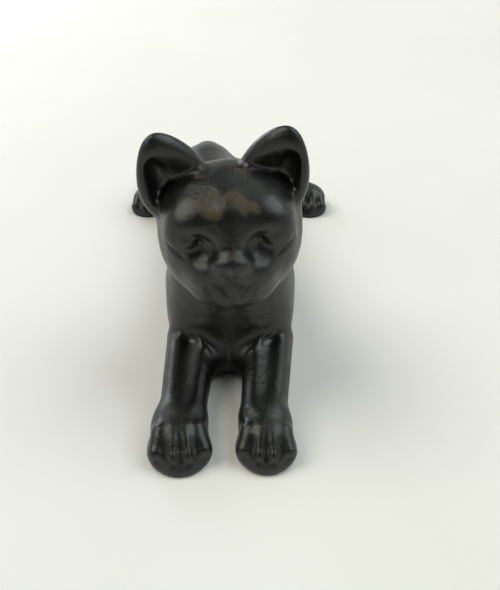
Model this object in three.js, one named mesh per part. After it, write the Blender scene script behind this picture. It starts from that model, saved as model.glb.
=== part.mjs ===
// Cat doorstop: a cat lying flat on its belly with its head up, cast in one piece with a flat underside.
// The cat faces -Y, its left side is +X, the underside lies on z = 0. Millimetres.
import * as THREE from "three";

// Driving dimensions
const LENGTH = 190; // forepaws to the bend of the tail, mm
const TRIANGLES = 9300; // facets of the finished surface

// The figure's pose, in hundredths of its length
const HEAD_HEIGHT = 30.1; // ground to the middle of the skull
const HEAD_REACH = 29.3; // middle of the figure forward to the skull
const SHOULDER_REACH = 25.0; // forward to the elbows
const PAW_REACH = 45.4; // forward to the forepaws
const HIND_REACH = 30.0; // back to the hind paws
const TAIL_REACH = 46.1; // back to the bend of the tail
const HIND_SPREAD = 18.9; // sideways to each hind paw

// Its parts, in the same hundredths and in degrees
const HEAD = { aside: 0.2, tilt: -2.6, pan: 1.2, join: 1.8 };
const EAR = { back: 1.9, lean: -7, face: 18, width: 5.2, depth: 2.7, height: 6.8 };
const RIGHT_EAR = { out: 8.3, up: 8.1, splay: 24 };
const LEFT_EAR = { out: 7.1, up: 8.2, splay: 24 };
const EYE = { out: 4.9, front: -6.9, up: 1.6, width: 1.6, height: 0.9, slant: 28 };
const NOSE = { front: -9.9, up: -0.7, width: 2.2, height: 1.5 };
const JAW = { front: -6.7, down: 6.1, width: 5.8, depth: 3.3, height: 3.2 };
const NECK = { back: 17, height: 14, baseRadius: 9.0, topRadius: 8.0 };
const FORELEG = { aside: 0.3, out: 6.7, elbow: 2.9, elbowHeight: 5.2, wrist: 2.5, wristHeight: 3.3, hand: 4.2 };
const LEFT_FOREPAW = { out: 5.8, up: 2.9, yaw: -2, size: 1.01, root: 3.5 };
const RIGHT_FOREPAW = { out: 7.6, up: 2.9, yaw: 6, size: 1.07, root: 4.0 };
const LEFT_HINDPAW = { up: 2.3, yaw: -10, size: 0.86, ankle: 2.7, knee: 4.0 };
const RIGHT_HINDPAW = { up: 2.1, yaw: 6, size: 0.82, ankle: 2.0, knee: 3.3 };
const TAIL = { root: 3.6, tip: 1.9, steps: 16 };

// Sampling grid: its spacing and the corners of the space that holds the figure
const PITCH = 0.52;
const BOX = {
  lo: [-HIND_SPREAD - 7, -PAW_REACH - 8, -1.5 * PITCH],
  hi: [HIND_SPREAD + 7, TAIL_REACH + 6, HEAD_HEIGHT + LEFT_EAR.up + EAR.height + 5],
};

// Soft joins and cuts of shapes given as distance to their surface

const softMin = (a, b, k) => {
  const h = Math.max(k - Math.abs(a - b), 0) / k;
  return Math.min(a, b) - h * h * k * 0.25;
};

const join = (k, ...shapes) => (x, y, z) => {
  let d = shapes[0](x, y, z);
  for (const shape of shapes.slice(1)) d = softMin(d, shape(x, y, z), k);
  return d;
};

const carve = (k, shape, ...cuts) => (x, y, z) => {
  let d = shape(x, y, z);
  for (const cut of cuts) d = -softMin(-d, cut(x, y, z), k);
  return d;
};

const pair = (make) => [make(-1), make(1)];

// A shape built about its own origin, turned (degrees about x, y, z) and set at a point
function placed(at, turn, shape) {
  const euler = new THREE.Euler(...turn.map(THREE.MathUtils.degToRad), "ZYX");
  const m = new THREE.Matrix4().makeRotationFromEuler(euler).transpose().elements;
  return (x, y, z) => {
    const [u, v, w] = [x - at[0], y - at[1], z - at[2]];
    return shape(
      m[0] * u + m[4] * v + m[8] * w,
      m[1] * u + m[5] * v + m[9] * w,
      m[2] * u + m[6] * v + m[10] * w,
    );
  };
}

const ball = ([a, b, c]) => (x, y, z) => {
  const [u, v, w] = [x / a, y / b, z / c];
  const near = Math.hypot(u, v, w);
  const slope = Math.hypot(u / a, v / b, w / c);
  return slope < 1e-9 ? -Math.min(a, b, c) : (near * (near - 1)) / slope;
};

const lump = (at, radii, turn = [0, 0, 0]) => placed(at, turn, ball(radii));

// An ovoid that narrows towards its top
const petal = (at, radii, taper) => {
  const core = ball(radii);
  return (x, y, z) => {
    const w = 1 - taper * THREE.MathUtils.clamp((z - at[2]) / radii[2], -1, 1);
    return core((x - at[0]) / w, (y - at[1]) / w, z - at[2]) * Math.min(1, w);
  };
};

// A round limb from one joint to the next, each end with its own radius
const limb = (a, b, startRadius, endRadius) => {
  const d = b.map((v, i) => v - a[i]);
  const dd = d[0] ** 2 + d[1] ** 2 + d[2] ** 2;
  return (x, y, z) => {
    const [u, v, w] = [x - a[0], y - a[1], z - a[2]];
    const t = THREE.MathUtils.clamp((u * d[0] + v * d[1] + w * d[2]) / dd, 0, 1);
    return Math.hypot(u - d[0] * t, v - d[1] * t, w - d[2] * t) - startRadius - (endRadius - startRadius) * t;
  };
};

// Trunk with shoulders, chest and belly resting on the ground
function trunk() {
  return join(5,
    lump([0.3, -9, 11.0], [10.0, 17, 10.8]),
    lump([-5.4, -17.5, 10.4], [5.3, 7.5, 9.4]),
    lump([6.0, -17.5, 10.4], [5.3, 7.5, 9.4]),
    lump([0.3, -22.0, 9.6], [7.2, 6.2, 8.6]),
    lump([-0.8, 2, 2.6], [8.8, 24, 6.0]),
    lump([-1.6, 10, 8.6], [9.2, 17, 8.6]),
    lump([-4.8, 28, 7.0], [7.6, 14, 8.3]));
}

function haunches() {
  return join(3,
    lump([-12.0, 31, 6.0], [5.8, 9.6, 7.0], [0, 0, -8]),
    lump([3.8, 30.5, 4.6], [8.4, 9.8, 6.0], [0, 0, 14]));
}

// A paw pointing to -Y: four long toes parted by grooves over a smooth sole
function paw(at, { yaw, size }) {
  const toe = (s) => limb([s * 1.9, -0.4, 1.4], [s * 2.15, -3.7 + 0.45 * s * s, -0.5], 0.8, 1.35);
  const groove = (s) => limb([s * 1.9, -1.2, 3.5], [s * 2.15, -5.0 + 0.3 * s * s, 0.0], 0.3, 0.5);
  const toes = join(0.5, ...[-1.5, -0.5, 0.5, 1.5].map(toe));
  const back = lump([0, 1.0, 0.0], [4.0, 4.4, 2.8]);
  const sole = lump([0, -0.7, -2.1], [4.7, 5.0, 2.1]);
  const form = join(0.8, carve(0.5, join(0.9, back, toes), ...[-1, 0, 1].map(groove)), sole);
  return placed(at, [0, 0, yaw], (x, y, z) => form(x / size, y / size, z / size) * size);
}

// A foreleg flat on the ground with a shallow channel along its top
function foreleg(side, forepaw) {
  const { aside, out, elbow, elbowHeight, wrist, wristHeight, hand } = FORELEG;
  const at = [side * forepaw.out, -PAW_REACH, forepaw.up];
  const [x, y] = [at[0] * 0.95, hand - PAW_REACH];
  const root = (share, back, height) => [side * out * share + aside, back - SHOULDER_REACH, height];
  const ridge = (share, end) => limb(root(share, 0, elbowHeight), [end, y, wristHeight], elbow, wrist);
  const core = limb(root(0.84, 0.5, elbowHeight - 2.4), [x, y, wristHeight - 1.3], forepaw.root, wrist + 0.2);
  const arm = join(2.4, lump(root(1, 4.5, elbowHeight + 1.2), [4.0, 6.6, 6.8]), core);
  const channel = limb(root(1, -3.5, elbowHeight + 3.1), [x, y - 1, wristHeight + 3.9], 1, 1);
  const ridges = [ridge(1.19, x + side * 1.15), ridge(0.81, x - side * 1.15)];
  return join(1.6, carve(2, join(1.3, arm, ...ridges), channel), paw(at, forepaw));
}

// A hind leg folded along the ground, from the knee beside the rump to its paw
function hindLeg(side, hindpaw, knee) {
  const at = [side * HIND_SPREAD, HIND_REACH, hindpaw.up];
  const ankle = [at[0] * 0.975, at[1] + 1.2, hindpaw.up];
  return join(2, limb(ankle, [side * knee, HIND_REACH + 9, hindpaw.up + 1.2], hindpaw.ankle, hindpaw.knee), paw(at, hindpaw));
}

// The tail lies close round the right haunch
function tail() {
  const line = [
    [-5, TAIL_REACH - 5.4, 8.0],
    [-7.4, TAIL_REACH - 1.8, 5.6],
    [-11.2, TAIL_REACH, 3.6],
    [-15.4, TAIL_REACH - 1.4, 2.7],
    [0.5 - HIND_SPREAD, HIND_REACH + 11, 2.3],
    [-0.4 - HIND_SPREAD, HIND_REACH + 6.6, 1.9],
  ];
  const curve = new THREE.CatmullRomCurve3(line.map((p) => new THREE.Vector3(...p)));
  const joints = curve.getSpacedPoints(TAIL.steps).map((p) => p.toArray());
  const radius = (i) => THREE.MathUtils.lerp(TAIL.root, TAIL.tip, Math.min(1, (1.4 * i) / TAIL.steps) ** 0.8);
  const pieces = joints.slice(1).map((end, i) => limb(joints[i], end, radius(i), radius(i + 1)));
  return (x, y, z) => Math.min(...pieces.map((piece) => piece(x, y, z)));
}

// A large rounded ear with a thick rim, a deep shell and a tuft across its base
function ear(side, { out, up, splay }) {
  const shell = petal([0, 0, 0], [EAR.width, EAR.depth, EAR.height], 0.28);
  const hollow = petal([0.5, -2.7, -0.6], [EAR.width - 1.5, 2.7, EAR.height - 1.8], 0.32);
  const pit = lump([1.9, -0.9, 0.0], [1.4, 1.7, 3.4]);
  const tuft = limb([-3.4, -1.5, -1.8], [1.6, -1.3, -3.6], 0.7, 0.5);
  const form = carve(0.7, join(0.8, carve(0.9, shell, hollow), tuft), pit);
  const turn = [EAR.lean, side * EAR.face, side * -splay];
  return placed([side * out, EAR.back, up], turn, (x, y, z) => form(side * x, y, z));
}

function skull() {
  return join(3.2,
    lump([0, 2.0, 0.8], [9.4, 9.8, 8.2]),
    ...pair((s) => lump([s * 5.4, 1.4, 2.8], [4.9, 6.2, 4.6])),
    ...pair((s) => lump([s * 5.3, -1.2, -2.0], [5.0, 6.0, 5.4])),
    ...pair((s) => lump([s * 3.3, -3.8, -4.6], [4.0, 4.4, 3.8])));
}

// Broad whisker pads, bridge and nose
function muzzle() {
  return join(1.4,
    lump([0, -6.6, -2.8], [4.4, 3.6, 3.2]),
    ...pair((s) => lump([s * 2.6, -7.9, -2.8], [3.1, 2.5, 2.5])),
    limb([0, -4.6, 3.6], [0, -8.6, -0.6], 2.6, 1.9));
}

function face() {
  const brows = pair((s) => lump([s * 4.8, -4.6, 4.2], [3.4, 2.6, 1.9]));
  const turn = (s) => [0, s * -14, s * EYE.slant];
  const socket = (s) => lump([s * EYE.out, EYE.front - 1.5, EYE.up], [2.6, 1.6, 1.3], turn(s));
  const eyeball = (s) => lump([s * EYE.out, EYE.front + 0.6, EYE.up], [EYE.width, 1.5, EYE.height], turn(s));
  const corner = (s) => lump([s * (EYE.out - 1.3), EYE.front - 1.1, EYE.up - 0.6], [0.7, 1.2, 0.9], [0, s * 30, 0]);
  const relief = join(0.6, carve(1.6, join(2.2, skull(), muzzle(), ...brows), ...pair(socket)), ...pair(eyeball));
  const nose = petal([0, NOSE.front, NOSE.up], [NOSE.width, 1.3, NOSE.height], -0.3);
  const jaw = join(1.5,
    lump([0, JAW.front, -JAW.down], [JAW.width, JAW.depth, JAW.height]),
    lump([0, JAW.front + 3.3, -JAW.down], [4.0, 4.2, 3.0]));
  const lip = (s) => limb([s * 3.6, -9.9, -2.9], [s * 1.5, -10.1, -5.8], 0.1, 0.2);
  const form = join(0.6, join(1.5, carve(0.7, relief, ...pair(corner)), jaw), nose);
  return carve(1.1, form, ...pair(lip));
}

function cat() {
  const at = [HEAD.aside, -HEAD_REACH, HEAD_HEIGHT];
  const nape = [HEAD.aside, 4.3 - HEAD_REACH, HEAD_HEIGHT - 3.1];
  const neck = limb([HEAD.aside, -NECK.back, NECK.height], nape, NECK.baseRadius, NECK.topRadius);
  const breast = lump([0.4, 0.6 - SHOULDER_REACH, 3.2], [4.6, 5.0, 4.6]);
  const forelegs = join(4.5, join(0.6, foreleg(-1, RIGHT_FOREPAW), foreleg(1, LEFT_FOREPAW)), breast);
  const hindLegs = join(1.0, hindLeg(-1, RIGHT_HINDPAW, 14.2), hindLeg(1, LEFT_HINDPAW, 9.8));
  const body = join(1.8, join(1.8, join(3, join(2.5, trunk(), haunches()), neck), hindLegs), forelegs);
  const head = placed(at, [0, HEAD.tilt, HEAD.pan], join(0.9, face(), ear(-1, RIGHT_EAR), ear(1, LEFT_EAR)));
  return join(HEAD.join, join(2.2, body, tail()), head);
}

// The casting ends in a flat underside.
const onGround = (shape) => (x, y, z) => Math.max(shape(x, y, z), -z);

// Surface of the shape on a regular grid, one point in every cell that the surface crosses

function sample(shape, box, pitch) {
  const n = box.lo.map((v, i) => Math.ceil((box.hi[i] - v) / pitch) + 1);
  const value = new Float32Array(n[0] * n[1] * n[2]);
  const block = 6;
  const at = (axis, i) => box.lo[axis] + i * pitch;
  const cube = (k0, j0, i0) => {
    const middle = shape(at(0, i0 + block / 2), at(1, j0 + block / 2), at(2, k0 + block / 2));
    const far = Math.abs(middle) > block * pitch * 1.6;
    for (let k = k0; k < Math.min(n[2], k0 + block); k++) {
      for (let j = j0; j < Math.min(n[1], j0 + block); j++) {
        for (let i = i0; i < Math.min(n[0], i0 + block); i++) {
          value[i + n[0] * (j + n[1] * k)] = far ? middle : shape(at(0, i), at(1, j), at(2, k));
        }
      }
    }
  };
  for (let k = 0; k < n[2]; k += block) {
    for (let j = 0; j < n[1]; j += block) {
      for (let i = 0; i < n[0]; i += block) cube(k, j, i);
    }
  }
  return { n, value };
}

// Samples that would make two sheets of the surface touch are moved just outside it
function partSheets({ n, value }) {
  const step = [1, n[0], n[0] * n[1]];
  const sides = [[0, 1], [1, 2], [2, 0]].map(([s, t]) => [0, step[s], step[s] + step[t], step[t]]);
  const all = step[0] + step[1] + step[2];
  const long = [0, ...step].map((v) => [v, all - v]);
  const open = (a, b) => (value[Math.abs(value[a]) < Math.abs(value[b]) ? a : b] = 1e-3);
  let changed = true;
  while (changed) {
    changed = false;
    for (let base = 0; base < value.length - all; base++) {
      const inside = value[base] < 0;
      for (const [p, q, r, s] of sides) {
        if (value[base + r] < 0 !== inside || value[base + q] < 0 === inside || value[base + s] < 0 === inside) continue;
        if (inside) open(base + p, base + r);
        else open(base + q, base + s);
        changed = true;
      }
      const count = long.flat().filter((v) => value[base + v] < 0).length;
      if (count !== 2) continue;
      const ends = long.find(([a, b]) => value[base + a] < 0 && value[base + b] < 0);
      if (!ends) continue;
      open(base + ends[0], base + ends[1]);
      changed = true;
    }
  }
}

const CORNERS = [0, 1, 2, 3, 4, 5, 6, 7].map((c) => [c & 1, (c >> 1) & 1, c >> 2]);
const EDGES = CORNERS.flatMap((_, a) => [1, 2, 4].filter((bit) => !(a & bit)).map((bit) => [a, a | bit]));

function surface(shape, box, pitch) {
  const { n, value } = sample(shape, box, pitch);
  partSheets({ n, value });
  const step = [1, n[0], n[0] * n[1]];
  const cell = new Int32Array(value.length).fill(-1);
  const points = [];
  const faces = [];
  const crossing = (base) => {
    const v = CORNERS.map((c) => value[base + c[0] * step[0] + c[1] * step[1] + c[2] * step[2]]);
    const hits = EDGES.filter(([a, b]) => v[a] < 0 !== v[b] < 0);
    if (!hits.length) return null;
    const sum = [0, 0, 0];
    for (const [a, b] of hits) {
      const t = v[a] / (v[a] - v[b]);
      for (let q = 0; q < 3; q++) sum[q] += CORNERS[a][q] + t * (CORNERS[b][q] - CORNERS[a][q]);
    }
    return sum.map((s) => s / hits.length);
  };
  const each = (from, visit) => {
    for (let k = from; k < n[2] - 1; k++) {
      for (let j = from; j < n[1] - 1; j++) {
        for (let i = from; i < n[0] - 1; i++) visit(i, j, k, i + step[1] * j + step[2] * k);
      }
    }
  };
  each(0, (i, j, k, base) => {
    const inside = value[base] < 0;
    const mixed = CORNERS.some((c) => value[base + c[0] * step[0] + c[1] * step[1] + c[2] * step[2]] < 0 !== inside);
    if (!mixed) return;
    const mean = crossing(base);
    cell[base] = points.length;
    const p = [i, j, k].map((v, q) => box.lo[q] + (v + mean[q]) * pitch);
    if (k === 1) p[2] = 0;
    points.push(p);
  });
  each(1, (i, j, k, base) => {
    const inside = value[base] < 0;
    for (let q = 0; q < 3; q++) {
      if (inside === value[base + step[q]] < 0) continue;
      const [s, t] = [step[(q + 1) % 3], step[(q + 2) % 3]];
      const ring = [base - s - t, base - t, base, base - s].map((c) => cell[c]);
      const [a, b, c, d] = inside ? ring : ring.reverse();
      faces.push([a, b, c], [a, c, d]);
    }
  });
  return { points, faces };
}

// Fewer facets: edges are closed up in the order of the least change to the form

const PLANE_TERMS = [[0, 0], [0, 1], [0, 2], [0, 3], [1, 1], [1, 2], [1, 3], [2, 2], [2, 3], [3, 3]];

function planeOf(a, b, c) {
  const u = [b[0] - a[0], b[1] - a[1], b[2] - a[2]];
  const v = [c[0] - a[0], c[1] - a[1], c[2] - a[2]];
  const n = [u[1] * v[2] - u[2] * v[1], u[2] * v[0] - u[0] * v[2], u[0] * v[1] - u[1] * v[0]];
  const size = Math.hypot(...n) || 1e-12;
  const unit = n.map((q) => q / size);
  return { unit, area: size / 2, terms: [...unit, -(unit[0] * a[0] + unit[1] * a[1] + unit[2] * a[2])] };
}

const errorAt = (q, [x, y, z]) =>
  q[0] * x * x + 2 * q[1] * x * y + 2 * q[2] * x * z + 2 * q[3] * x + q[4] * y * y
  + 2 * q[5] * y * z + 2 * q[6] * y + q[7] * z * z + 2 * q[8] * z + q[9];

function bestPoint(q, a, b) {
  const middle = a.map((v, i) => (v + b[i]) / 2);
  const m = new THREE.Matrix3().set(q[0], q[1], q[2], q[1], q[4], q[5], q[2], q[5], q[7]);
  const spread = (q[0] + q[4] + q[7]) / 3;
  if (Math.abs(m.determinant()) < 1e-4 * spread ** 3) return middle;
  const p = new THREE.Vector3(-q[3], -q[6], -q[8]).applyMatrix3(m.invert()).toArray();
  const reach = Math.hypot(a[0] - b[0], a[1] - b[1], a[2] - b[2]);
  const away = Math.hypot(p[0] - middle[0], p[1] - middle[1], p[2] - middle[2]);
  return away > reach ? middle : p;
}

class Queue {
  items = [];
  push(item) {
    const list = this.items;
    let i = list.push(item) - 1;
    while (i > 0) {
      const up = (i - 1) >> 1;
      if (list[up].cost <= item.cost) break;
      list[i] = list[up];
      i = up;
    }
    list[i] = item;
  }
  pop() {
    const list = this.items;
    const top = list[0];
    const last = list.pop();
    if (!list.length) return top;
    let i = 0;
    for (;;) {
      let down = 2 * i + 1;
      if (down >= list.length) break;
      if (down + 1 < list.length && list[down + 1].cost < list[down].cost) down++;
      if (list[down].cost >= last.cost) break;
      list[i] = list[down];
      i = down;
    }
    list[i] = last;
    return top;
  }
}

function fewerFacets({ points, faces }, target) {
  const around = points.map(() => new Set());
  const error = points.map(() => new Float64Array(10));
  const version = new Int32Array(points.length);
  faces.forEach((face, f) => {
    const plane = planeOf(...face.map((v) => points[v]));
    for (const v of face) {
      around[v].add(f);
      PLANE_TERMS.forEach(([i, j], t) => (error[v][t] += plane.area * plane.terms[i] * plane.terms[j]));
    }
  });
  const grounded = (v) => points[v][2] === 0;
  const neighbours = (v) => {
    const found = new Set();
    for (const f of around[v]) for (const w of faces[f]) if (w !== v) found.add(w);
    return found;
  };
  const queue = new Queue();
  const offer = (a, b) => {
    if (grounded(a) !== grounded(b)) return;
    const sum = error[a].map((v, i) => v + error[b][i]);
    const point = bestPoint(sum, points[a], points[b]);
    if (grounded(a)) point[2] = 0;
    const reach = Math.hypot(...points[a].map((v, i) => v - points[b][i]));
    const cost = errorAt(sum, point) + 2e-5 * reach ** 4;
    queue.push({ cost, a, b, point, sum, stamp: version[a] + version[b] });
  };
  const holds = (a, b, point) => {
    const others = neighbours(b);
    let shared = 0;
    for (const v of neighbours(a)) if (others.has(v)) shared++;
    if (shared !== 2) return false;
    for (const [v, w] of [[a, b], [b, a]]) {
      for (const f of around[v]) {
        if (faces[f].includes(w)) continue;
        const before = planeOf(...faces[f].map((q) => points[q]));
        const corners = faces[f].map((q) => (q === v ? point : points[q]));
        const after = planeOf(...corners);
        const longest = Math.max(...corners.map((p, i) => Math.hypot(...p.map((q, j) => q - corners[(i + 1) % 3][j]))));
        const turned = before.unit[0] * after.unit[0] + before.unit[1] * after.unit[1] + before.unit[2] * after.unit[2];
        if (turned < 0.35 || after.area < 0.06 * longest * longest) return false;
      }
    }
    return true;
  };
  points.forEach((_, a) => {
    for (const b of neighbours(a)) if (a < b) offer(a, b);
  });
  let left = faces.length;
  while (left > target && queue.items.length) {
    const { a, b, point, sum, stamp } = queue.pop();
    if (version[a] < 0 || version[b] < 0 || version[a] + version[b] !== stamp) continue;
    if (!holds(a, b, point)) continue;
    points[a] = point;
    error[a] = sum;
    for (const f of around[b]) {
      if (faces[f].includes(a)) {
        for (const v of faces[f]) if (v !== b) around[v].delete(f);
        faces[f] = null;
        left--;
      } else {
        faces[f] = faces[f].map((v) => (v === b ? a : v));
        around[a].add(f);
      }
    }
    version[b] = -1;
    version[a]++;
    for (const v of neighbours(a)) offer(a, v);
  }
  return { points, faces: faces.filter(Boolean) };
}

// The finished casting, in millimetres and centred over the origin
function casting() {
  const { points, faces } = fewerFacets(surface(onGround(cat()), BOX, PITCH), TRIANGLES);
  const used = [...new Set(faces.flat())];
  const index = new Map(used.map((v, i) => [v, i]));
  const box = new THREE.Box3().setFromPoints(used.map((v) => new THREE.Vector3(...points[v])));
  const middle = box.getCenter(new THREE.Vector3());
  const place = ([x, y, z]) => [x - middle.x, y - middle.y, z].map((v) => (v * LENGTH) / 100);
  const geometry = new THREE.BufferGeometry();
  geometry.setAttribute("position", new THREE.Float32BufferAttribute(used.flatMap((v) => place(points[v])), 3));
  geometry.setIndex(faces.flatMap((face) => face.map((v) => index.get(v))));
  geometry.computeVertexNormals();
  return geometry;
}

const iron = new THREE.MeshStandardMaterial({ color: 0x23272a, roughness: 0.42, metalness: 0.6, name: "painted_iron" });
const mesh = new THREE.Mesh(casting(), iron);
mesh.name = "cat";
const part = new THREE.Group();
part.name = "cat_doorstop";
part.add(mesh);

export default part;
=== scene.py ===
"""Cat doorstop: a painted iron casting of a lying cat on a pale floor, in soft studio light."""
import math

import bpy
import numpy as np
from mathutils import Matrix, Vector


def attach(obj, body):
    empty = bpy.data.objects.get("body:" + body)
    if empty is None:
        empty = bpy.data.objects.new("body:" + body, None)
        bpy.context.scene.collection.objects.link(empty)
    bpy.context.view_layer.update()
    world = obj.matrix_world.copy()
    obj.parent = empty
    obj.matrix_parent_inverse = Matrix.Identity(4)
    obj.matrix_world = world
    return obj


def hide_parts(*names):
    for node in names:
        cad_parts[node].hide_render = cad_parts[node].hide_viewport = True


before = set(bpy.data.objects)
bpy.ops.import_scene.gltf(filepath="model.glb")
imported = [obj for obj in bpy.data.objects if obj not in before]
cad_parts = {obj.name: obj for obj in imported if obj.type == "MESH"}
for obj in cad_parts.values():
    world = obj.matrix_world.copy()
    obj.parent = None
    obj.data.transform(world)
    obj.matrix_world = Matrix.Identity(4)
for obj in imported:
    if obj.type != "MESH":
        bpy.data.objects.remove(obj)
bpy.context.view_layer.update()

# The form is built in hundredths of the figure's length, facing -Y with its left side at +X.
LENGTH = 0.19
UNIT = LENGTH / 100

# Step of the sampling grid, and the triangles kept of the net that it gives
PITCH = 0.24
FACES = 190000

# The pose
HEAD_HEIGHT = 30.1
HEAD_REACH = 29.3
SHOULDER_REACH = 25.0
PAW_REACH = 45.4
HIND_REACH = 30.0
TAIL_REACH = 46.1
HIND_SPREAD = 18.9

# The parts
HEAD = dict(aside=0.2, tilt=-2.6, pan=1.2, join=1.8)
EAR = dict(back=1.9, lean=-7, face=18, width=5.2, depth=2.7, height=6.8)
RIGHT_EAR = dict(out=8.3, up=8.1, splay=24)
LEFT_EAR = dict(out=7.1, up=8.2, splay=24)
EYE = dict(out=4.9, front=-6.9, up=1.6, width=1.6, height=0.9, roll=-14, slant=28, corner=36)
NOSE = dict(front=-9.9, up=-0.7, width=2.2, height=1.5)
JAW = dict(front=-6.7, down=6.1, width=5.8, depth=3.3, height=3.2)
NECK = dict(back=17, height=14, base=9.0, top=8.0)
FORELEG = dict(
    aside=0.3, out=6.7, elbow=2.9, elbow_height=5.2, wrist=2.5, wrist_height=3.3, hand=4.2
)
LEFT_FOREPAW = dict(out=5.8, up=2.9, yaw=-2, size=1.01, root=3.5)
RIGHT_FOREPAW = dict(out=7.6, up=2.9, yaw=6, size=1.07, root=4.0)
LEFT_HINDPAW = dict(up=2.3, yaw=-10, size=0.86, ankle=2.7, knee=4.0)
RIGHT_HINDPAW = dict(up=2.1, yaw=6, size=0.82, ankle=2.0, knee=3.3)
KNEES = dict(right=14.2, left=9.8)
TAIL = dict(root=3.6, tip=1.9)
TOES = (-1.5, -0.5, 0.5, 1.5)

HEAD_AT = (HEAD["aside"], -HEAD_REACH, HEAD_HEIGHT)
HEAD_TURN = (0, HEAD["tilt"], HEAD["pan"])

# The sampled space, and the distance given where a part isn't worked out
BOX_LOW = np.array([-HIND_SPREAD - 7, -PAW_REACH - 8, -1.5 * PITCH])
BOX_HIGH = np.array([HIND_SPREAD + 7, TAIL_REACH + 6, HEAD_HEIGHT + 17])
FAR = 9.0

# Worn places about the skull's middle, and how far each one reaches
WORN = [
    ((-2.8, -5.1, 6.7), 2.2),
    ((-1.7, -5.9, 6.3), 1.5),
    ((0.9, -4.7, 7.0), 1.9),
    ((2.0, -5.6, 6.5), 1.5),
    ((3.3, -6.0, 6.0), 1.0),
    ((-3.9, 0.9, 8.7), 0.9),
    ((2.2, 0.1, 8.7), 0.7),
    ((0.4, -9.3, 1.6), 0.9),
    ((-0.1, -11.2, -0.6), 0.7),
]
# A worn place fades between these shares of its reach, after a drift of up to half this length
WORN_FADE = (1.15, 0.75)
DRIFT = 0.010

# Colours, darker and lighter, and the scales of the patterns in the paint, per metre
PAINT = ((0.0025, 0.0029, 0.0027, 1), (0.006, 0.007, 0.0064, 1))
BRONZE = (0.043, 0.029, 0.008, 1)
FLOOR = ((0.90, 0.888, 0.858, 1), (0.94, 0.932, 0.906, 1))
SCALE = dict(
    drift=160.0, grain=420.0, cloud=45.0, gloss=90.0, pores=900.0, coarse=60.0, waves=120.0
)
GLOSS = dict(low=0.30, high=0.44, worn=0.12, specular=0.56)

# The floor's half width, and how far below the cat it lies
FLOOR_REACH = 20.0
FLOOR_DROP = 0.0002

# Suns: azimuth and height in degrees, power, colour. Azimuth 0 is in front of the cat and 90 at its
# left side, and they are named by the side of the photograph.
SUNS = dict(
    left=(-95, 55, 1.44, (1, 0.99, 0.865)),
    right=(95, 55, 1.13, (0.94, 1, 0.98)),
    back_right=(150, 50, 0.34, (0.945, 1, 0.94)),
)
SUN_SPREAD = 45

# Panels, all turned to one point: place, width and height, power, colour
PANELS = dict(
    window=((0.50, 0.15, 0.40), (0.40, 0.40), 0.18, (0.98, 0.99, 1)),
    back=((-0.45, 0.60, 0.30), (0.45, 0.35), 1.60, (0.885, 0.925, 1)),
)
PANEL_TARGET = (0, -0.04, 0.04)

# The sky is pale up to the low height and dim from the high one, as shares of straight up.
SKY = dict(low=0.30, high=0.50, pale=0.64, dim=0.04, colour=(0.98, 1, 0.96, 1))

# The photograph's height, and how far its middle is right of the cat's, in pixels
PHOTO_HEIGHT = 590
PHOTO_ASIDE = 21
CAMERA = dict(at=(0, -0.2385, 0.1682), tilt=54, lens=46.4, near=0.01)


# Soft joins and cuts of shapes given as distance to their surface


def soft_min(a, b, k):
    h = np.maximum(k - np.abs(a - b), 0) / k
    return np.minimum(a, b) - h * h * (k * 0.25)


def join(k, *shapes):
    def shape(p):
        d = shapes[0](p)
        for s in shapes[1:]:
            d = soft_min(d, s(p), k)
        return d

    return shape


def carve(k, body, *cuts):
    def shape(p):
        d = body(p)
        for c in cuts:
            d = -soft_min(-d, c(p), k)
        return d

    return shape


def pair(make):
    return [make(-1), make(1)]


def turned(turn):
    x, y, z = (Matrix.Rotation(math.radians(t), 3, axis) for t, axis in zip(turn, "XYZ"))
    return np.array(z @ y @ x)


def placed(at, turn, body):
    m = turned(turn).T
    c = np.array(at, float)[:, None]
    return lambda p: body(m @ (p - c))


def near(at, reach, body):
    """The body is worked out within reach of a point only; elsewhere it counts as far away."""
    c = np.array(at, float)[:, None]

    def shape(p):
        d = np.full(p.shape[1], FAR)
        close = ((p - c) ** 2).sum(0) < reach * reach
        if close.any():
            d[close] = body(p[:, close])
        return d

    return shape


def ball(radii):
    r = np.array(radii, float)[:, None]

    def shape(p):
        q = p / r
        size = np.sqrt((q * q).sum(0))
        slope = np.sqrt(((q / r) ** 2).sum(0)) + 1e-9
        return size * (size - 1) / slope

    return shape


def lump(at, radii, turn=(0, 0, 0)):
    return placed(at, turn, ball(radii))


def petal(at, radii, taper):
    """An ovoid that narrows towards its top."""
    core = ball(radii)
    c = np.array(at, float)[:, None]

    def shape(p):
        q = p - c
        w = 1 - taper * np.clip(q[2] / radii[2], -1, 1)
        return core(np.stack([q[0] / w, q[1] / w, q[2]])) * np.minimum(1, w)

    return shape


def limb(a, b, start_radius, end_radius):
    a, b = np.array(a, float)[:, None], np.array(b, float)[:, None]
    d = b - a
    dd = float((d * d).sum())

    def shape(p):
        q = p - a
        t = np.clip((q * d).sum(0) / dd, 0, 1)
        return np.sqrt(((q - d * t) ** 2).sum(0)) - start_radius - (end_radius - start_radius) * t

    return shape


# The animal, part by part


def trunk():
    return join(
        5,
        lump((0.3, -9, 11.0), (10.0, 17, 10.8)),
        lump((-5.4, -17.5, 10.4), (5.3, 7.5, 9.4)),
        lump((6.0, -17.5, 10.4), (5.3, 7.5, 9.4)),
        lump((0.3, -22.0, 9.6), (7.2, 6.2, 8.6)),
        lump((-0.8, 2, 2.6), (8.8, 24, 6.0)),
        lump((-1.6, 10, 8.6), (9.2, 17, 8.6)),
        lump((-4.8, 28, 7.0), (7.6, 14, 8.3)),
    )


def haunches():
    return join(
        3,
        lump((-12.0, 31, 6.0), (5.8, 9.6, 7.0), (0, 0, -8)),
        lump((3.8, 30.5, 4.6), (8.4, 9.8, 6.0), (0, 0, 14)),
    )


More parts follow.
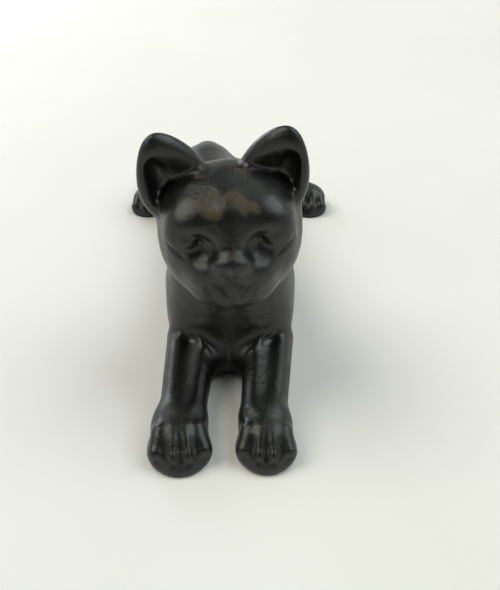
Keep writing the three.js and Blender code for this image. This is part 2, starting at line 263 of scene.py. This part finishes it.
def paw(at, yaw, size, **_):
    """Four long toes parted by grooves over a smooth sole, pointing to -Y."""

    def toe(s):
        return limb((s * 1.9, -0.4, 1.4), (s * 2.15, -3.7 + 0.45 * s * s, -0.5), 0.8, 1.35)

    def groove(s):
        return limb((s * 1.9, -1.2, 3.5), (s * 2.15, -5.0 + 0.3 * s * s, 0.0), 0.3, 0.5)

    toes = join(0.5, *[toe(s) for s in TOES])
    back = lump((0, 1.0, 0.0), (4.0, 4.4, 2.8))
    sole = lump((0, -0.7, -2.1), (4.7, 5.0, 2.1))
    form = join(1.3, carve(0.6, join(1.3, back, toes), *[groove(s) for s in (-1, 0, 1)]), sole)
    return near(at, 9, placed(at, (0, 0, yaw), lambda p: form(p / size) * size))


def forepaw_at(side, forepaw):
    return (side * forepaw["out"], -PAW_REACH, forepaw["up"])


def foreleg(side, forepaw):
    """A leg flat on the ground with a shallow channel along its top."""
    at = forepaw_at(side, forepaw)
    x, y = at[0] * 0.95, FORELEG["hand"] - PAW_REACH
    elbow, elbow_height = FORELEG["elbow"], FORELEG["elbow_height"]
    wrist, wrist_height = FORELEG["wrist"], FORELEG["wrist_height"]

    def root(share, back, height):
        return (side * FORELEG["out"] * share + FORELEG["aside"], back - SHOULDER_REACH, height)

    def ridge(share, end):
        return limb(root(share, 0, elbow_height), (end, y, wrist_height), elbow, wrist)

    start = root(0.84, 0.5, elbow_height - 2.4)
    core = limb(start, (x, y, wrist_height - 1.3), forepaw["root"], wrist + 0.2)
    arm = join(2.4, lump(root(1, 4.5, elbow_height + 1.2), (4.0, 6.6, 6.8)), core)
    start = root(1.0, -3.5, elbow_height + 3.1)
    channel = limb(start, (x, y - 1, wrist_height + 3.9), 1.0, 1.0)
    leg = join(1.3, arm, ridge(1.19, x + side * 1.15), ridge(0.81, x - side * 1.15))
    return join(2.6, carve(2.0, leg, channel), paw(at, **forepaw))


def hind_leg(side, hindpaw, knee):
    at = (side * HIND_SPREAD, HIND_REACH, hindpaw["up"])
    ankle = (at[0] * 0.975, at[1] + 1.2, hindpaw["up"])
    knee = (side * knee, HIND_REACH + 9, hindpaw["up"] + 1.2)
    return join(2, limb(ankle, knee, hindpaw["ankle"], hindpaw["knee"]), paw(at, **hindpaw))


def smooth_line(points, steps):
    """Points along a smooth curve through the given ones."""
    p = np.array(points, float)
    p = np.vstack([2 * p[0] - p[1], p, 2 * p[-1] - p[-2]])
    line = []
    for i in range(1, len(p) - 2):
        a, b, c, d = p[i - 1 : i + 3]
        for t in np.arange(steps) / steps:
            along = 2 * b + (c - a) * t + (2 * a - 5 * b + 4 * c - d) * t**2
            line.append(0.5 * (along + (3 * b - a - 3 * c + d) * t**3))
    return np.array(line + [p[-2]])


def tail():
    """It lies close round the right haunch."""
    line = smooth_line(
        [
            (-5, TAIL_REACH - 5.4, 8.0),
            (-7.4, TAIL_REACH - 1.8, 5.6),
            (-11.2, TAIL_REACH, 3.6),
            (-15.4, TAIL_REACH - 1.4, 2.7),
            (0.5 - HIND_SPREAD, HIND_REACH + 11, 2.3),
            (-0.4 - HIND_SPREAD, HIND_REACH + 6.6, 1.9),
        ],
        3,
    )
    share = np.linspace(0, 1, len(line))
    radii = TAIL["root"] + (TAIL["tip"] - TAIL["root"]) * np.minimum(1, 1.4 * share) ** 0.8
    ends = zip(line[:-1], line[1:], radii[:-1], radii[1:])
    pieces = [limb(a, b, r, s) for a, b, r, s in ends]
    return near(line[len(line) // 2], 17, lambda p: np.min([piece(p) for piece in pieces], axis=0))


def ear(side, out, up, splay):
    """A large rounded ear with a thick rim, a deep shell and a tuft across its base."""
    width, depth, height = EAR["width"], EAR["depth"], EAR["height"]
    shell = petal((0, 0, 0), (width, depth, height), 0.28)
    hollow = petal((0.5, -3.25, -0.4), (width - 1.2, 2.7, height - 1.5), 0.32)
    pit = lump((1.8, -0.9, 0.2), (1.6, 1.6, 3.4))
    tuft = limb((-3.4, -1.5, -1.8), (1.6, -1.3, -3.6), 0.7, 0.5)
    form = carve(1.6, join(1.4, carve(1.5, shell, hollow), tuft), pit)
    flip = np.array([side, 1, 1])[:, None]
    at = (side * out, EAR["back"], up)
    turn = (EAR["lean"], side * EAR["face"], -side * splay)
    return near(at, 12, placed(at, turn, lambda p: form(p * flip)))


def skull():
    return join(
        3.2,
        lump((0, 2.0, 0.8), (9.4, 9.8, 8.2)),
        *pair(lambda s: lump((s * 5.4, 1.4, 2.8), (4.9, 6.2, 4.6))),
        *pair(lambda s: lump((s * 5.3, -1.2, -2.0), (5.0, 6.0, 5.4))),
        *pair(lambda s: lump((s * 3.3, -3.8, -4.6), (4.0, 4.4, 3.8))),
    )


def muzzle():
    return join(
        1.4,
        lump((0, -6.6, -2.8), (4.4, 3.6, 3.2)),
        *pair(lambda s: lump((s * 2.6, -7.9, -2.8), (3.1, 2.5, 2.5))),
        limb((0, -4.6, 3.6), (0, -8.6, -0.6), 2.6, 1.9),
    )


def by_eyes(aside, back, above, radii, roll, slant=0):
    """A lump at the same place about the middle of each eye."""

    def one(s):
        at = (s * (EYE["out"] + aside), EYE["front"] + back, EYE["up"] + above)
        return lump(at, radii, (0, s * roll, s * slant))

    return pair(one)


def face():
    brows = pair(lambda s: lump((s * 5.0, -4.1, 3.7), (3.4, 2.5, 2.4)))
    lids = pair(lambda s: lump((s * 5.2, -4.7, 1.4), (3.2, 2.1, 2.4)))
    eye = (EYE["width"], 1.5, EYE["height"])
    sockets = by_eyes(0, -2.1, 0, (2.4, 1.7, 1.2), EYE["roll"], EYE["slant"])
    balls = by_eyes(0.9, 0.9, 0.2, eye, EYE["roll"], EYE["slant"])
    corners = by_eyes(-0.6, -1.9, 0.1, (0.9, 1.4, 0.9), EYE["corner"])
    pits = by_eyes(-0.6, -0.9, 0.2, (0.3, 1.2, 0.5), EYE["corner"])
    relief = join(0.9, carve(2.0, join(2.6, skull(), muzzle(), *brows, *lids), *sockets), *balls)
    relief = carve(0.6, carve(2.0, relief, *corners), *pits)
    nose = petal((0, NOSE["front"], NOSE["up"]), (NOSE["width"], 1.3, NOSE["height"]), -0.3)
    jaw = join(
        1.5,
        lump((0, JAW["front"], -JAW["down"]), (JAW["width"], JAW["depth"], JAW["height"])),
        lump((0, JAW["front"] + 3.3, -JAW["down"]), (4.0, 4.2, 3.0)),
    )
    lips = pair(lambda s: limb((s * 2.9, -10.8, -3.5), (s * 1.3, -10.0, -6.2), 0.1, 0.15))
    return carve(1.5, join(1.8, join(1.5, relief, jaw), nose), *lips)


def cat():
    nape = (HEAD["aside"], 4.3 - HEAD_REACH, HEAD_HEIGHT - 3.1)
    neck = limb((HEAD["aside"], -NECK["back"], NECK["height"]), nape, NECK["base"], NECK["top"])
    breast = lump((0.4, 0.6 - SHOULDER_REACH, 3.2), (4.6, 5.0, 4.6))
    forelegs = join(0.6, foreleg(-1, RIGHT_FOREPAW), foreleg(1, LEFT_FOREPAW))
    forelegs = near((0, -35, 5), 24, join(4.5, forelegs, breast))
    right_leg = hind_leg(-1, RIGHT_HINDPAW, KNEES["right"])
    left_leg = hind_leg(1, LEFT_HINDPAW, KNEES["left"])
    middle = join(3, join(2.5, trunk(), haunches()), neck)
    body = join(1.8, middle, join(1.0, right_leg, left_leg), forelegs)
    head = placed(HEAD_AT, HEAD_TURN, join(0.9, face(), ear(-1, **RIGHT_EAR), ear(1, **LEFT_EAR)))
    return join(HEAD["join"], join(2.2, body, tail()), near(HEAD_AT, 21, head))


# The shape's surface on a fine grid, sampled only near it


def evaluate(shape, p, chunk=16384):
    return np.concatenate([shape(p[:, i : i + chunk]) for i in range(0, p.shape[1], chunk)])


def block_grid(counts):
    return np.stack(np.meshgrid(*[np.arange(k) for k in counts], indexing="ij")).reshape(3, -1)


def sample(shape, block=4):
    """Values on the whole grid: exact in the blocks that the surface may cross, rough elsewhere."""
    m = np.ceil((BOX_HIGH - BOX_LOW) / (PITCH * block)).astype(int)
    blocks = block_grid(m)
    rough = evaluate(shape, BOX_LOW[:, None] + (blocks * block + (block - 1) / 2) * PITCH)
    value = rough.reshape(m).astype(np.float32)
    for axis in range(3):
        value = np.repeat(value, block, axis)
    close = np.abs(rough) < 1.7 * block * PITCH
    inner = block_grid([block] * 3)
    cells = (blocks[:, close][:, :, None] * block + inner[:, None, :]).reshape(3, -1)
    value[tuple(cells)] = evaluate(shape, BOX_LOW[:, None] + cells * PITCH)
    return value


def surface(value):
    """One point in each cell that the surface crosses, and a quad across each crossed grid edge."""
    inside = value < 0
    n = value.shape
    steps = np.eye(3, dtype=int)
    corners = [
        inside[tuple(slice(a, size - 1 + a) for a, size in zip(corner, n))]
        for corner in np.ndindex(2, 2, 2)
    ]
    total = sum(c.astype(np.int8) for c in corners)
    cells = np.argwhere((total > 0) & (total < 8))
    index = np.full(n, -1, np.int32)
    index[tuple(cells.T)] = np.arange(len(cells))
    point, hits, quads = np.zeros((len(cells), 3)), np.zeros(len(cells)), []
    for axis in range(3):
        step, s, t = steps[axis], steps[(axis + 1) % 3], steps[(axis + 2) % 3]
        for start in (0 * s, s, t, s + t):
            v, w = value[tuple((cells + start).T)], value[tuple((cells + start + step).T)]
            hit = (v < 0) != (w < 0)
            along = np.where(hit, v / np.where(hit, v - w, 1), 0)
            point += hit[:, None] * (start + along[:, None] * step)
            hits += hit
        low = inside[1:-1, 1:-1, 1:-1]
        high = inside[tuple(slice(1 + step[k], n[k] - 1 + step[k]) for k in range(3))]
        edge = np.argwhere(low != high) + 1
        ring = np.stack([index[tuple((edge - d).T)] for d in (s + t, t, 0 * s, s)], 1)
        out = ~inside[tuple(edge.T)]
        ring[out] = ring[out][:, ::-1]
        quads.append(ring)
    return BOX_LOW + (cells + point / hits[:, None]) * PITCH, np.vstack(quads)


def slope_at(shape, p, d, step=0.04):
    return np.stack([evaluate(shape, p + step * np.eye(3)[:, [k]]) - d for k in range(3)]) / step


def onto(shape, points, rounds=2):
    """Moves points along the shape's slope until they lie on it; gives them and their normals."""
    p = np.array(points, float).T
    for _ in range(rounds):
        d = evaluate(shape, p)
        slope = slope_at(shape, p, d)
        steep = np.maximum((slope * slope).sum(0), 0.05)
        p = p - np.clip(d / steep, -0.6, 0.6) * slope
    return p.T, (slope / np.sqrt((slope * slope).sum(0) + 1e-9)).T


# Fine carving, laid on the surface along lines


def in_head(points):
    return np.array(points) @ turned(HEAD_TURN).T + HEAD_AT


def cut_line(shape, points):
    """A smooth line through the points, laid on the shape."""
    return onto(shape, smooth_line(points, 4), 4)[0]


def press(points, normals, line, width, depth):
    """Moves the points by a line in by depth, or out where it is negative; the line's ends fade."""
    reach = 3 * width
    box = np.all((points > line.min(0) - reach) & (points < line.max(0) + reach), 1)
    p = points[box].T
    share = np.linspace(0, 1, len(line))
    best, place = np.full(p.shape[1], 1e9), np.zeros(p.shape[1])
    for a, b, s, t in zip(line[:-1], line[1:], share[:-1], share[1:]):
        d, q = (b - a)[:, None], p - a[:, None]
        along = np.clip((q * d).sum(0) / max(float((d * d).sum()), 1e-9), 0, 1)
        away = ((q - d * along) ** 2).sum(0)
        closer = away < best
        best = np.where(closer, away, best)
        place = np.where(closer, s + (t - s) * along, place)
    fade = np.sin(np.pi * np.clip(place, 0.06, 0.94)) ** 0.5
    points[box] -= (normals[box].T * depth * fade * np.exp(-best / width**2)).T


def dent(points, normals, at, width, depth):
    away = ((points - at) ** 2).sum(1)
    points -= normals * (depth * np.exp(-away / width**2))[:, None]


def rows(line, count, drop):
    """Copies of a line, each one lower than the last."""
    return [[(x, y, z - drop * i) for x, y, z in line] for i in range(count)]


def face_lines():
    """Lines of the face about the skull's middle: points, width, depth."""
    lines = []
    for s in (-1, 1):
        lid = [
            (s * 3.6, -8.2, 1.0),
            (s * 4.3, -7.8, 1.9),
            (s * 5.4, -7.4, 2.4),
            (s * 6.5, -6.7, 2.4),
        ]
        below_eye = [(s * 6.4, -6.9, -0.5), (s * 7.4, -6.3, 0.1), (s * 8.5, -5.3, 1.3)]
        nostril = [(s * 1.0, -11.0, -1.8), (s * 1.5, -10.9, -1.5), (s * 2.1, -10.6, -1.0)]
        cheek_hair = [(s * 6.6, -6.9, -1.4), (s * 8.0, -5.8, -0.2), (s * 9.2, -4.0, 1.6)]
        side_hair = [(s * 9.3, -4.4, 3.0), (s * 10.0, -2.6, 4.4), (s * 10.4, -0.4, 5.6)]
        lines += [(lid, 0.3, -0.08), (below_eye, 0.4, 0.42), (nostril, 0.45, 0.14)]
        lines += [(line, 0.3, 0.08) for line in rows(cheek_hair, 6, 0.95)]
        lines += [(line, 0.3, 0.06) for line in rows(side_hair, 6, 1.25)]
    return lines


def paw_marks(points, normals, shape, at, yaw, size, **_):
    """A claw's socket at each toe's end."""
    for s in TOES:
        spot = np.array([[s * 2.2, -4.9 + 0.45 * s * s, -0.7]]) * size
        spot = onto(shape, spot @ turned((0, 0, yaw)).T + at, 4)[0][0]
        dent(points, normals, spot, 0.5, 0.3)


def elbow_lines(side):
    """Lines where a foreleg meets the chest: points, width, depth."""
    a = FORELEG["aside"]
    crease = [
        (side * 7.2 + a, -26.6, 8.4),
        (side * 5.2 + a, -28.9, 8.0),
        (side * 3.2 + a, -30.6, 6.4),
    ]
    above = [(x, y + 0.9, z + 0.9) for x, y, z in crease]
    chest = [(side * 4.2, -27.6, 12.0), (side * 5.4, -27.2, 11.2), (side * 6.8, -26.4, 11.6)]
    return [(crease, 0.45, -0.16), (above, 0.6, 0.1), (chest, 0.7, 0.12)]


def carving(shape, points, normals):
    for line, width, depth in face_lines():
        press(points, normals, cut_line(shape, in_head(line)), width, depth)
    for s in (-1, 1):
        dent(points, normals, in_head([(s * 4.3, -7.4, 1.9)])[0], 0.8, 0.12)
    for side, forepaw in ((-1, RIGHT_FOREPAW), (1, LEFT_FOREPAW)):
        paw_marks(points, normals, shape, forepaw_at(side, forepaw), **forepaw)
        for line, width, depth in elbow_lines(side):
            press(points, normals, cut_line(shape, line), width, depth)


def casting():
    """The cat as a fine net in metres, set over the origin; also gives how far it was moved."""
    shape = cat()
    points, quads = surface(sample(lambda p: np.maximum(shape(p), -p[2])))
    rim = points[:, 2] < 0.45 * PITCH
    above, normals = onto(shape, points[~rim])
    carving(shape, above, normals)
    points[~rim] = above
    points[rim, 2] = 0
    middle = (points.max(0) + points.min(0)) / 2 * [1, 1, 0]
    mesh = bpy.data.meshes.new("cat_casting")
    mesh.from_pydata(((points - middle) * UNIT).tolist(), [], quads.tolist())
    mesh.validate()
    piece = bpy.data.objects.new("cat_casting", mesh)
    bpy.context.scene.collection.objects.link(piece)
    return piece, middle


def thin(piece):
    """Fewer faces where the form is even."""
    modifier = piece.modifiers.new("thin", "DECIMATE")
    modifier.ratio = FACES / (2 * len(piece.data.polygons))
    bpy.context.view_layer.update()
    thinned = piece.evaluated_get(bpy.context.evaluated_depsgraph_get())
    mesh = bpy.data.meshes.new_from_object(thinned)
    piece.modifiers.clear()
    piece.data = mesh
    mesh.shade_smooth()


# Materials


def new_material(name):
    material = bpy.data.materials.new(name)
    material.use_nodes = True
    return material, material.node_tree, material.node_tree.nodes["Principled BSDF"]


def add(tree, kind, settings=None, **inputs):
    """A node with its settings and its inputs, each a value or another node's output.

    An input goes by its name, or by its number after an underscore.
    """
    node = tree.nodes.new(kind)
    for name, value in (settings or {}).items():
        setattr(node, name, value)
    for name, value in inputs.items():
        number = name[1:]
        socket = node.inputs[int(number) if number.isdigit() else name.replace("_", " ")]
        if isinstance(value, bpy.types.NodeSocket):
            tree.links.new(value, socket)
        else:
            socket.default_value = value
    return node


def noise(tree, where, scale, detail=3.0):
    settings = dict(Scale=scale, Detail=detail, Roughness=0.55)
    return add(tree, "ShaderNodeTexNoise", Vector=where, **settings).outputs[0]


def ramp(tree, value, low, high, start=0.0, end=1.0):
    ends = dict(From_Min=low, From_Max=high, To_Min=start, To_Max=end)
    return add(tree, "ShaderNodeMapRange", Value=value, **ends).outputs[0]


def maths(tree, operation, *values):
    inputs = {f"_{i}": value for i, value in enumerate(values)}
    return add(tree, "ShaderNodeMath", {"operation": operation}, **inputs).outputs[0]


def vector_maths(tree, operation, *values):
    inputs = {f"_{i}": value for i, value in enumerate(values)}
    return add(tree, "ShaderNodeVectorMath", {"operation": operation}, **inputs)


def blend(tree, share, a, b):
    return add(tree, "ShaderNodeMix", {"data_type": "RGBA"}, _0=share, _6=a, _7=b).outputs[2]


def bumps(tree, shader, height, strength, distance):
    bump = add(tree, "ShaderNodeBump", Strength=strength, Distance=distance, Height=height)
    tree.links.new(bump.outputs[0], shader.inputs["Normal"])


def wear(tree, where, middle):
    """How worn the paint is: patches on the head with drifting edges."""
    cloud = add(tree, "ShaderNodeTexNoise", Vector=where, Scale=SCALE["drift"], Detail=4.0)
    drift = vector_maths(tree, "MULTIPLY_ADD", cloud.outputs[1], (DRIFT,) * 3, where).outputs[0]
    worn = None
    for at, radius in WORN:
        spot = [(v - m) * UNIT + DRIFT / 2 for v, m in zip(in_head([at])[0], middle)]
        away = vector_maths(tree, "DISTANCE", drift, spot).outputs["Value"]
        patch = ramp(tree, away, *[radius * UNIT * share for share in WORN_FADE])
        worn = patch if worn is None else maths(tree, "MAXIMUM", worn, patch)
    return worn


def cast_skin(tree, where, grain):
    """The height of the skin: grain and pores, coarser in places, over low waves."""
    pores = add(tree, "ShaderNodeTexVoronoi", Vector=where, Scale=SCALE["pores"])
    pores = maths(tree, "MULTIPLY", pores.outputs["Distance"], 0.4)
    coarse = ramp(tree, noise(tree, where, SCALE["coarse"], 2.0), 0.42, 0.6, 0.15, 0.65)
    skin = maths(tree, "MULTIPLY", maths(tree, "ADD", grain, pores), coarse)
    waves = maths(tree, "MULTIPLY", noise(tree, where, SCALE["waves"], 2.0), 1.2)
    return maths(tree, "ADD", skin, waves)


def painted_iron(middle):
    """Black paint, worn to a bronze brown where hands and feet have rubbed it."""
    material, tree, shader = new_material("painted_iron")
    where = add(tree, "ShaderNodeTexCoord").outputs["Object"]
    grain = noise(tree, where, SCALE["grain"])
    rubbed = ramp(tree, grain, 0.35, 0.6, 0.35, 1.0)
    worn = maths(tree, "MULTIPLY", wear(tree, where, middle), rubbed)
    paint = blend(tree, ramp(tree, noise(tree, where, SCALE["cloud"]), 0.4, 0.65), *PAINT)
    tree.links.new(blend(tree, worn, paint, BRONZE), shader.inputs["Base Color"])
    satin = noise(tree, where, SCALE["gloss"])
    satin = ramp(tree, satin, 0.35, 0.7, GLOSS["low"], GLOSS["high"])
    dull = maths(tree, "MULTIPLY", worn, GLOSS["worn"])
    tree.links.new(maths(tree, "ADD", satin, dull), shader.inputs["Roughness"])
    shader.inputs["Specular IOR Level"].default_value = GLOSS["specular"]
    bumps(tree, shader, cast_skin(tree, where, grain), 0.4, 0.0006)
    return material


def pale_floor():
    material, tree, shader = new_material("pale_floor")
    where = add(tree, "ShaderNodeTexCoord").outputs["Object"]
    tint = ramp(tree, noise(tree, where, 6.0), 0.3, 0.7)
    tree.links.new(blend(tree, tint, *FLOOR), shader.inputs["Base Color"])
    shader.inputs["Roughness"].default_value = 0.7
    bumps(tree, shader, noise(tree, where, 700.0), 0.1, 0.0003)
    return material


# Floor, light and camera


def lay_floor():
    r = FLOOR_REACH
    mesh = bpy.data.meshes.new("floor")
    mesh.from_pydata([(-r, -r, 0), (r, -r, 0), (r, r, 0), (-r, r, 0)], [], [(0, 1, 2, 3)])
    mesh.materials.append(pale_floor())
    floor = bpy.data.objects.new("floor", mesh)
    floor.location.z = -FLOOR_DROP
    bpy.context.scene.collection.objects.link(floor)


def sky():
    """Pale round the horizon, dim overhead."""
    world = bpy.data.worlds.new("studio")
    bpy.context.scene.world = world
    world.use_nodes = True
    tree = world.node_tree
    way = add(tree, "ShaderNodeTexCoord").outputs["Generated"]
    up = add(tree, "ShaderNodeSeparateXYZ", Vector=way).outputs["Z"]
    strength = ramp(tree, up, SKY["low"], SKY["high"], SKY["pale"], SKY["dim"])
    background = tree.nodes["Background"]
    background.inputs["Color"].default_value = SKY["colour"]
    tree.links.new(strength, background.inputs["Strength"])


def lamp(name, kind, power, colour, away):
    """A light that shines back along the vector away."""
    light = bpy.data.lights.new(name, kind)
    light.energy = power
    light.color = colour
    holder = bpy.data.objects.new(name, light)
    holder.rotation_euler = (-away).to_track_quat("-Z", "Y").to_euler()
    bpy.context.scene.collection.objects.link(holder)
    return holder


def sun(name, azimuth, height, power, colour):
    """Soft light from far away."""
    a, h = math.radians(azimuth), math.radians(height)
    away = Vector((math.sin(a) * math.cos(h), -math.cos(a) * math.cos(h), math.sin(h)))
    lamp(name, "SUN", power, colour, away).data.angle = math.radians(SUN_SPREAD)


def panel(name, at, size, power, colour):
    holder = lamp(name, "AREA", power, colour, Vector(at) - Vector(PANEL_TARGET))
    holder.location = at
    holder.data.shape = "RECTANGLE"
    holder.data.size, holder.data.size_y = size


def camera():
    """Above and in front of the cat, looking down over its head."""
    data = bpy.data.cameras.new("camera")
    data.lens = CAMERA["lens"]
    data.shift_x = PHOTO_ASIDE / PHOTO_HEIGHT
    data.clip_start = CAMERA["near"]
    eye = bpy.data.objects.new("camera", data)
    eye.location = CAMERA["at"]
    eye.rotation_euler = (math.radians(CAMERA["tilt"]), 0, 0)
    bpy.context.scene.collection.objects.link(eye)
    bpy.context.scene.camera = eye


def studio():
    lay_floor()
    sky()
    for name, settings in SUNS.items():
        sun(name, *settings)
    for name, settings in PANELS.items():
        panel(name, *settings)
    camera()
    bpy.context.scene.view_settings.view_transform = "Standard"


piece, middle = casting()
thin(piece)
piece.data.materials.append(painted_iron(middle))
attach(piece, "root")
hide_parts("cat")
studio()
